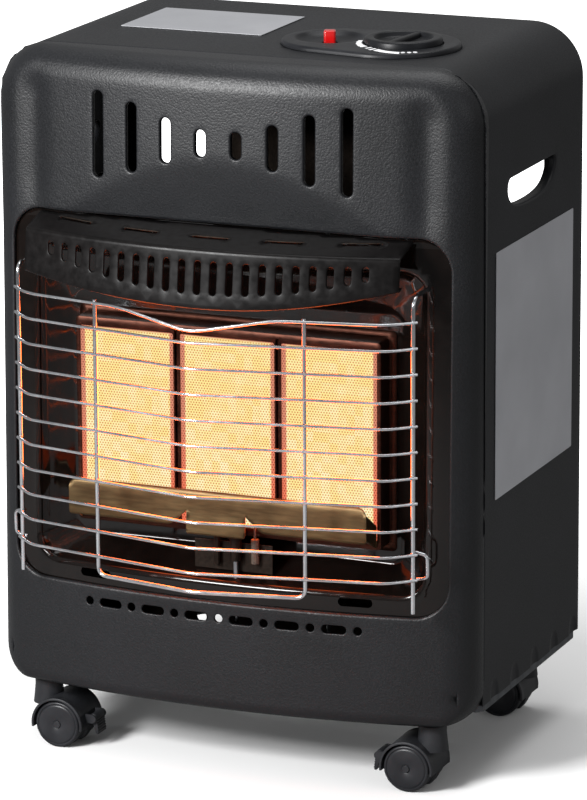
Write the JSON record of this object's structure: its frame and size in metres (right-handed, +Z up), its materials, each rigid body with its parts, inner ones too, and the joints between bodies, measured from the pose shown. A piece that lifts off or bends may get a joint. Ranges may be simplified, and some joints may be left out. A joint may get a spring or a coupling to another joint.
{
  "type": "portable propane heater",
  "caption": "Portable gas cabinet heater: bowed dark steel cabinet on castors, ceramic plaques behind a chrome wire guard, knob and push button on top.",
  "frame": {"origin": "centre of the bounding box on the floor that the castor wheels stand on", "axes": "+X to the right seen from the front, +Y from the front to the back, +Z up"},
  "size_m": [0.4, 0.3273, 0.573],
  "materials": {
    "powder_coat": "charcoal powder coat, fine orange peel",
    "enamel": "glossy black-brown vitreous enamel",
    "plated_steel": "dull aluminised or zinc plated sheet",
    "heated_steel": "heat-browned steel",
    "chrome_wire": "polished chrome",
    "plaque": "honeycomb ceramic glowing yellow-orange, emissive",
    "white_ceramic": "white glazed insulator",
    "copper_brass": "turned brass",
    "cast_aluminium": "die-cast, matt",
    "pipe_aluminium": "drawn tube, satin",
    "black_plastic": "moulded black, fine grain",
    "red_plastic": "glossy red",
    "label_silver": "plain silver-grey film",
    "label_grey": "plain grey film",
    "castor_plastic": "moulded near-black nylon"
  },
  "bodies": {
    "cabinet": {"wrap": "powder_coat", "front_cover": "powder_coat", "rear_panel": "powder_coat", "base_tray": "plated_steel", "enamel_pan": "enamel", "visor": "enamel", "wire_guard": "chrome_wire", "plaque_left": "plaque", "plaque_middle": "plaque", "plaque_right": "plaque", "burner_left": "plated_steel", "burner_middle": "plated_steel", "burner_right": "plated_steel", "plaque_frame": "heated_steel", "deflector_shield": "heated_steel", "inner_baffle": "plated_steel", "gas_manifold": "plated_steel", "pilot_burner": "plated_steel", "thermo_probe": "copper_brass", "spark_pin": "white_ceramic", "gas_valve": "cast_aluminium", "control_bezel": "black_plastic", "igniter_body": "black_plastic", "feed_pipe": "pipe_aluminium", "inlet_pipe": "pipe_aluminium", "pilot_pipe": "pipe_aluminium", "inlet_fitting": "copper_brass", "tip_switch": "black_plastic", "side_label": "label_silver", "top_label": "label_grey", "castor_mount_front_left": "plated_steel", "castor_mount_front_right": "plated_steel", "castor_mount_rear_left": "plated_steel", "castor_mount_rear_right": "plated_steel"},
    "valve_core": {"valve_drum": "copper_brass"},
    "knob": {"control_knob": "black_plastic", "valve_spindle": "plated_steel"},
    "button": {"igniter_button": "red_plastic"},
    "castor_front_left": {"castor_hood_front_left": "castor_plastic"},
    "castor_front_right": {"castor_hood_front_right": "castor_plastic"},
    "castor_rear_left": {"castor_hood_rear_left": "castor_plastic"},
    "castor_rear_right": {"castor_hood_rear_right": "castor_plastic"},
    "tread_a_front_left": {"wheel_a_front_left": "castor_plastic"},
    "tread_b_front_left": {"wheel_b_front_left": "castor_plastic"},
    "tread_a_front_right": {"wheel_a_front_right": "castor_plastic"},
    "tread_b_front_right": {"wheel_b_front_right": "castor_plastic"},
    "tread_a_rear_left": {"wheel_a_rear_left": "castor_plastic"},
    "tread_b_rear_left": {"wheel_b_rear_left": "castor_plastic"},
    "tread_a_rear_right": {"wheel_a_rear_right": "castor_plastic"},
    "tread_b_rear_right": {"wheel_b_rear_right": "castor_plastic"},
    "brake_front_left": {"brake_lever_front_left": "castor_plastic"},
    "brake_front_right": {"brake_lever_front_right": "castor_plastic"}
  },
  "joints": [
    {"name": "knob_turn", "type": "hinge", "parent": "cabinet", "child": "valve_core", "pos_m": [0.106, 0.00935, 0.527], "axis": [0, 0, 1], "range_deg": [-90, 36]},
    {"name": "knob_push", "type": "slide", "parent": "valve_core", "child": "knob", "axis": [0, 0, -1], "range_m": [0, 0.0035], "stiffness_N_per_m": 800, "springref_m": -0.002},
    {"name": "button_push", "type": "slide", "parent": "cabinet", "child": "button", "axis": [0, 0, -1], "range_m": [0, 0.006], "stiffness_N_per_m": 500, "springref_m": -0.002},
    {"name": "swivel_front_left", "type": "hinge", "parent": "cabinet", "child": "castor_front_left", "pos_m": [-0.163, -0.07465, 0.04], "axis": [0, 0, 1], "continuous": true},
    {"name": "swivel_front_right", "type": "hinge", "parent": "cabinet", "child": "castor_front_right", "pos_m": [0.163, -0.07465, 0.04], "axis": [0, 0, 1], "continuous": true},
    {"name": "swivel_rear_left", "type": "hinge", "parent": "cabinet", "child": "castor_rear_left", "pos_m": [-0.163, 0.12735, 0.04], "axis": [0, 0, 1], "continuous": true},
    {"name": "swivel_rear_right", "type": "hinge", "parent": "cabinet", "child": "castor_rear_right", "pos_m": [0.163, 0.12735, 0.04], "axis": [0, 0, 1], "continuous": true},
    {"name": "roll_a_front_left", "type": "hinge", "parent": "castor_front_left", "child": "tread_a_front_left", "pos_m": [-0.148, -0.07465, 0.019], "axis": [0, 1, 0], "continuous": true},
    {"name": "roll_b_front_left", "type": "hinge", "parent": "castor_front_left", "child": "tread_b_front_left", "pos_m": [-0.148, -0.07465, 0.019], "axis": [0, 1, 0], "continuous": true},
    {"name": "roll_a_front_right", "type": "hinge", "parent": "castor_front_right", "child": "tread_a_front_right", "pos_m": [0.148, -0.07465, 0.019], "axis": [0, 1, 0], "continuous": true},
    {"name": "roll_b_front_right", "type": "hinge", "parent": "castor_front_right", "child": "tread_b_front_right", "pos_m": [0.148, -0.07465, 0.019], "axis": [0, 1, 0], "continuous": true},
    {"name": "roll_a_rear_left", "type": "hinge", "parent": "castor_rear_left", "child": "tread_a_rear_left", "pos_m": [-0.148, 0.12735, 0.019], "axis": [0, 1, 0], "continuous": true},
    {"name": "roll_b_rear_left", "type": "hinge", "parent": "castor_rear_left", "child": "tread_b_rear_left", "pos_m": [-0.148, 0.12735, 0.019], "axis": [0, 1, 0], "continuous": true},
    {"name": "roll_a_rear_right", "type": "hinge", "parent": "castor_rear_right", "child": "tread_a_rear_right", "pos_m": [0.148, 0.12735, 0.019], "axis": [0, 1, 0], "continuous": true},
    {"name": "roll_b_rear_right", "type": "hinge", "parent": "castor_rear_right", "child": "tread_b_rear_right", "pos_m": [0.148, 0.12735, 0.019], "axis": [0, 1, 0], "continuous": true},
    {"name": "brake_turn_front_left", "type": "hinge", "parent": "castor_front_left", "child": "brake_front_left", "pos_m": [-0.1218, -0.07465, 0.024], "axis": [0, 1, 0], "range_deg": [0, 22]},
    {"name": "brake_turn_front_right", "type": "hinge", "parent": "castor_front_right", "child": "brake_front_right", "pos_m": [0.1218, -0.07465, 0.024], "axis": [0, -1, 0], "range_deg": [0, 22]}
  ]
}
